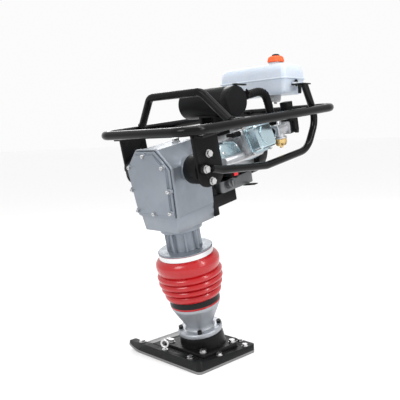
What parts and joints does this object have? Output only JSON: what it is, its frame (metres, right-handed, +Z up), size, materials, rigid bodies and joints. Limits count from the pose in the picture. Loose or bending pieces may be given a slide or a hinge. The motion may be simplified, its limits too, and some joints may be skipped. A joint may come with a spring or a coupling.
{
  "type": "tamping rammer",
  "caption": "Jumping jack tamping rammer: black shoe, grey spring leg with red bellows, silver crankcase, small petrol engine, tube handle with white fuel tank.",
  "frame": {"origin": "centre of the sole's flat ground face, in the machine's middle plane", "axes": "+Z up, -Y towards the machine's front, +X to the machine's left"},
  "size_m": [0.456, 0.74, 0.9843],
  "materials": {
    "sole_steel": "satin",
    "shoe_black": "matte",
    "boot_black": "satin",
    "bolt_steel": "satin",
    "black_steel": "satin",
    "cylinder_grey": "satin",
    "case_silver": "satin",
    "clamp_steel": "satin",
    "bellows_red": "gloss",
    "rubber_black": "matte",
    "spring_steel": "satin",
    "bush_nylon": "matte",
    "gear_steel": "satin",
    "engine_alloy": "satin",
    "fin_alloy": "satin",
    "cover_zinc": "satin",
    "brass": "satin",
    "black_plastic": "matte",
    "tube_black": "gloss",
    "tank_white": "satin",
    "cap_orange": "satin",
    "switch_red": "satin",
    "grey_plastic": "matte",
    "filter_paper": "matte",
    "sump_dark": "satin"
  },
  "bodies": {
    "foot": {"sole_plate": "sole_steel", "shoe_block": "shoe_black", "foot_bolts": "bolt_steel", "boot": "boot_black", "shoe_eye": "bolt_steel", "spring_cylinder": "cylinder_grey", "cylinder_bolts": "black_steel", "spring_cap": "gear_steel", "lower_clamp": "black_steel", "bellows": "bellows_red", "ram_springs": "spring_steel"},
    "upper": {"wear_bush": "bush_nylon", "guide_cylinder": "case_silver", "upper_clamp": "clamp_steel", "crankcase": "case_silver", "front_cover": "case_silver", "case_screws": "bolt_steel", "top_plug": "bolt_steel", "case_bearings": "gear_steel", "clutch_housing": "engine_alloy", "rubber_mounts": "rubber_black", "engine_block": "engine_alloy", "engine_sump": "sump_dark", "cylinder_barrel": "fin_alloy", "cylinder_head": "engine_alloy", "valve_cover": "cover_zinc", "plug_cap": "rubber_black", "carburettor": "engine_alloy", "float_bowl": "brass", "intake_box": "black_plastic", "fan_shroud": "black_plastic", "recoil_housing": "black_steel", "muffler": "black_steel", "engine_bracket": "black_steel", "switch_body": "black_plastic", "air_canister": "black_plastic", "air_end_cap": "black_plastic", "air_element": "filter_paper", "intake_hose": "rubber_black"},
    "ram": {"ram_piston": "gear_steel"},
    "conrod": {"connecting_rod": "gear_steel"},
    "crank": {"crank_gear": "gear_steel"},
    "drum": {"clutch_drum": "gear_steel"},
    "shaft": {"engine_shaft": "gear_steel", "flywheel": "engine_alloy", "clutch_shoes": "gear_steel"},
    "recoil": {"recoil_grip": "black_plastic"},
    "choke": {"choke_lever": "black_plastic"},
    "throttle": {"throttle_lever": "black_steel"},
    "switch": {"stop_switch": "switch_red"},
    "handle": {"handle_loop": "tube_black", "lifting_bow": "black_steel", "side_guards": "tube_black", "side_plates": "black_steel", "plate_bolts": "bolt_steel", "fuel_tank": "tank_white", "tank_brackets": "black_steel", "fuel_outlet": "grey_plastic"},
    "cap": {"tank_cap": "cap_orange"},
    "valve": {"fuel_lever": "black_plastic"}
  },
  "joints": [
    {"name": "ram_stroke", "type": "slide", "parent": "foot", "child": "upper", "axis": [0, -0.1908, 0.9816], "range_m": [-0.03, 0.03], "stiffness_N_per_m": 20000, "springref_m": 0.0299, "deforming": ["bellows", "ram_springs"]},
    {"name": "ram_slide", "type": "slide", "parent": "upper", "child": "ram", "axis": [0, -0.1908, 0.9816], "range_m": [0, 0.054]},
    {"name": "conrod_swing", "type": "hinge", "parent": "ram", "child": "conrod", "pos_m": [0, -0.06547, 0.39854], "axis": [0, 0.9816, 0.1908], "range_deg": [-14, 14]},
    {"name": "crank_spin", "type": "hinge", "parent": "upper", "child": "crank", "pos_m": [0, -0.07198, 0.53684], "axis": [0, 0.9816, 0.1908], "continuous": true},
    {"name": "pinion_spin", "type": "hinge", "parent": "upper", "child": "drum", "pos_m": [0, -0.0882, 0.62028], "axis": [0, 0.9816, 0.1908], "continuous": true},
    {"name": "engine_spin", "type": "hinge", "parent": "upper", "child": "shaft", "pos_m": [0, 0.0885, 0.65462], "axis": [0, 0.9816, 0.1908], "continuous": true},
    {"name": "recoil_pull", "type": "slide", "parent": "upper", "child": "recoil", "axis": [0, 0.9816, 0.1908], "range_m": [0, 0.4], "stiffness_N_per_m": 15, "springref_m": -0.2},
    {"name": "choke_turn", "type": "hinge", "parent": "upper", "child": "choke", "pos_m": [0.176, 0.28575, 0.75613], "axis": [1, 0, 0], "range_deg": [-60, 10]},
    {"name": "throttle_turn", "type": "hinge", "parent": "upper", "child": "throttle", "pos_m": [0.07, 0.15819, 0.55815], "axis": [0, -0.1908, 0.9816], "range_deg": [-35, 15]},
    {"name": "stop_rock", "type": "hinge", "parent": "upper", "child": "switch", "pos_m": [0.121, 0.05684, 0.60263], "axis": [0, -0.1908, 0.9816], "range_deg": [-5, 5]},
    {"name": "handle_tilt", "type": "hinge", "parent": "upper", "child": "handle", "pos_m": [0, -0.11464, 0.62532], "axis": [1, 0, 0], "range_deg": [-2, 2], "stiffness_Nm_per_rad": 4000, "springref_deg": 0.24},
    {"name": "tank_cap_turn", "type": "hinge", "parent": "handle", "child": "cap", "pos_m": [0.08, 0.323, 0.963], "axis": [0, 0, 1], "range_deg": [0, 270]},
    {"name": "fuel_valve_turn", "type": "hinge", "parent": "handle", "child": "valve", "pos_m": [0.049, 0.329, 0.844], "axis": [1, 0, 0], "range_deg": [0, 90]}
  ],
  "couplings": [
    {"joint": "pinion_spin", "follows": "crank_spin", "ratio": -3.8571}
  ]
}
